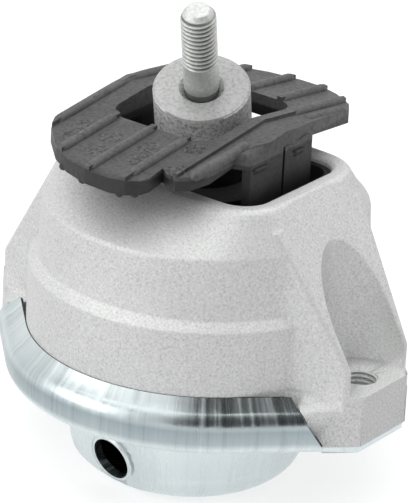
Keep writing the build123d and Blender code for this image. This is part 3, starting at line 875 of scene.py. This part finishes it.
class MOUNT_OT_pan(bpy.types.Operator):
    """The zinc-plated base pan, and a bead of painted shade in the gap between its crimp and the casting"""

    bl_idname = "mount.pan"
    bl_label = "Base pan"

    def execute(self, context):
        colours = context.scene.mount_colours
        even_piece("pressed_pan", "base_pan", zinc_plate(tuple(colours.zinc)))
        # the bead is painted shade in the gap under the crimp's lip
        gap_shade = black_rubber(COAT_AND_SHADE_BLACK, "shade_bead")
        for name, side in (("shade_bead_front", -1.0), ("shade_bead_back", 1.0)):
            piece(bead(name, shade_bead_path(side), *SHADE_BEAD), gap_shade, 60)
        return {"FINISHED"}


class MOUNT_OT_core(bpy.types.Operator):
    """The tilted core"""

    bl_idname = "mount.core"
    bl_label = "Core"

    def execute(self, context):
        colours = context.scene.mount_colours
        even_piece("cast_core_body", "core", coarse_core(tuple(colours.core)))
        return {"FINISHED"}


class MOUNT_OT_stud(bpy.types.Operator):
    """The threaded stud"""

    bl_idname = "mount.stud"
    bl_label = "Stud"

    def execute(self, context):
        sizes, colours = context.scene.mount_sizes, context.scene.mount_colours
        body = surface("threaded_stud", stud_points(sizes.thread_pitch, sizes.thread_depth))
        piece(body, plated_stud(tuple(colours.stud)), 50, ("stud",))
        return {"FINISHED"}


class MOUNT_OT_ear_threads(bpy.types.Operator):
    """Thread turns in the two ear holes"""

    bl_idname = "mount.ear_threads"
    bl_label = "Ear threads"

    def execute(self, context):
        sizes, colours = context.scene.mount_sizes, context.scene.mount_colours
        material = cast_aluminium(tuple(scaled(colours.cast, 0.9)), sizes.cast_grain)
        for name, x in (("ear_thread_right", BOLT_X), ("ear_thread_left", -BOLT_X)):
            ring = ear_thread_points(x, sizes.thread_pitch, sizes.thread_depth)
            piece(surface(name, ring, True, False), material, 50)
        return {"FINISHED"}


class MOUNT_OT_buffer(bpy.types.Operator):
    """The stop buffer with softened edges, rounded ribs, curled edge, skirt, leg lips and nubs"""

    bl_idname = "mount.buffer"
    bl_label = "Stop buffer"

    def execute(self, context):
        sizes, colours = context.scene.mount_sizes, context.scene.mount_colours
        material = moulded_plastic(tuple(colours.buffer))
        body = merged_copy("buffer_body", "stop_buffer", 1.0)
        rounding = body.modifiers.new("rounding", "BEVEL")
        rounding.width = sizes.buffer_edge
        rounding.segments = 2
        rounding.limit_method = "ANGLE"
        rounding.angle_limit = math.radians(40)
        piece(body, material, 40, ("stop_buffer",))

        # ribs and the curled edge are painted lighter than the rest: a painted highlight
        painted_reflection = moulded_plastic(tuple(scaled(colours.buffer, 1.45)))
        painted_reflection.name = "painted_highlight_plastic"
        height = sizes.rib_height / MM
        for i, (x, low, high) in enumerate(RIB_RUNS):
            y = np.linspace(low, high, 40)
            path = line_along_y(x, y, buffer_top(y) - RIB_SINK)
            piece(bead(f"buffer_rib_{i}", path, RIB_HALF_WIDTH, height), painted_reflection, 60)
        y = np.linspace(CURL_LOW, CURL_HIGH, 30)
        x = CURL_X + CURL_DRIFT * np.sin((y - CURL_LOW) / (CURL_HIGH - CURL_LOW) * QUARTER_TURN)
        path = line_along_y(x, y, buffer_top(y) - CURL_SINK)
        piece(bead("buffer_curl", path, *CURL_BEAD), painted_reflection, 60)
        y = np.linspace(FOLD_LOW, FOLD_HIGH, 24)
        path = line_along_y(FOLD_X, y, buffer_top(y) - FOLD_SINK)
        piece(bead("buffer_fold", path, *FOLD_BEAD), material, 60)

        piece(surface("buffer_skirt", skirt_points() * MM), material, 50)
        wall = surface("opening_wall", opening_wall_points() * MM, True, False)
        piece(wall, material, 50)
        for i, (low, high) in enumerate(LEG_SLOTS):
            y = np.linspace(low, high, 14)
            lip = bead(f"leg_lip_{i}", line_along_y(LIP_X, y, LIP_Z), *LIP_BEAD)
            piece(lip, material, 60)
            # the slot's inside is a near-black bead: painted shade
            slot = bead(f"leg_slot_{i}", line_along_y(SLOT_X, y, SLOT_Z), *SLOT_BEAD)
            piece(slot, black_rubber(SLOT_SHADE_BLACK, f"slot_shade_{i}"), 60)
        for i, (x, y) in enumerate(NUBS):
            piece(surface(f"gate_nub_{i}", nub_points(x, y) * MM), material, 60)
        return {"FINISHED"}


class MOUNT_OT_inner_parts(bpy.types.Operator):
    """Rubber spring, lining, ring, channel plates, membrane and diaphragm"""

    bl_idname = "mount.inner_parts"
    bl_label = "Inner parts"

    def execute(self, context):
        colours = context.scene.mount_colours
        rubber = black_rubber(tuple(colours.rubber))
        plate = cast_aluminium(tuple(scaled(colours.cast, 0.8)), 0.0008)
        plate.name = "cast_plate"
        steel = zinc_plate(tuple(scaled(colours.zinc, 0.6)))
        steel.name = "plain_steel"
        for name in ("main_spring", "window_lining", "membrane", "diaphragm"):
            dress(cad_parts[name], rubber)
        for name in ("upper_plate", "lower_plate"):
            dress(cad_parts[name], plate)
        dress(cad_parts["spring_ring"], steel)
        return {"FINISHED"}


class MOUNT_PT_panel(bpy.types.Panel):
    """Lists the mount's pieces"""

    bl_idname = "MOUNT_PT_panel"
    bl_label = "Engine mount"
    bl_space_type = "VIEW_3D"
    bl_region_type = "UI"
    bl_category = "Engine mount"

    def draw(self, context):
        for operator in OPERATORS:
            self.layout.operator(operator.bl_idname)
        for group in (context.scene.mount_sizes, context.scene.mount_colours):
            for name in group.bl_rna.properties.keys():
                if name not in ("rna_type", "name"):
                    self.layout.prop(group, name)


OPERATORS = (
    MOUNT_OT_studio, MOUNT_OT_housing, MOUNT_OT_pan, MOUNT_OT_core, MOUNT_OT_stud, MOUNT_OT_ear_threads,
    MOUNT_OT_buffer, MOUNT_OT_inner_parts,
)
CLASSES = (MountSizes, MountColours) + OPERATORS + (MOUNT_PT_panel,)


def register():
    for cls in CLASSES:
        bpy.utils.register_class(cls)
    bpy.types.Scene.mount_sizes = PointerProperty(type=MountSizes)
    bpy.types.Scene.mount_colours = PointerProperty(type=MountColours)


def unregister():
    del bpy.types.Scene.mount_colours
    del bpy.types.Scene.mount_sizes
    for cls in reversed(CLASSES):
        bpy.utils.unregister_class(cls)


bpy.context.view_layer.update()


def main():
    register()
    for operator in OPERATORS:
        family, action = operator.bl_idname.split(".")
        getattr(getattr(bpy.ops, family), action)()


if __name__ == "__main__":
    main()
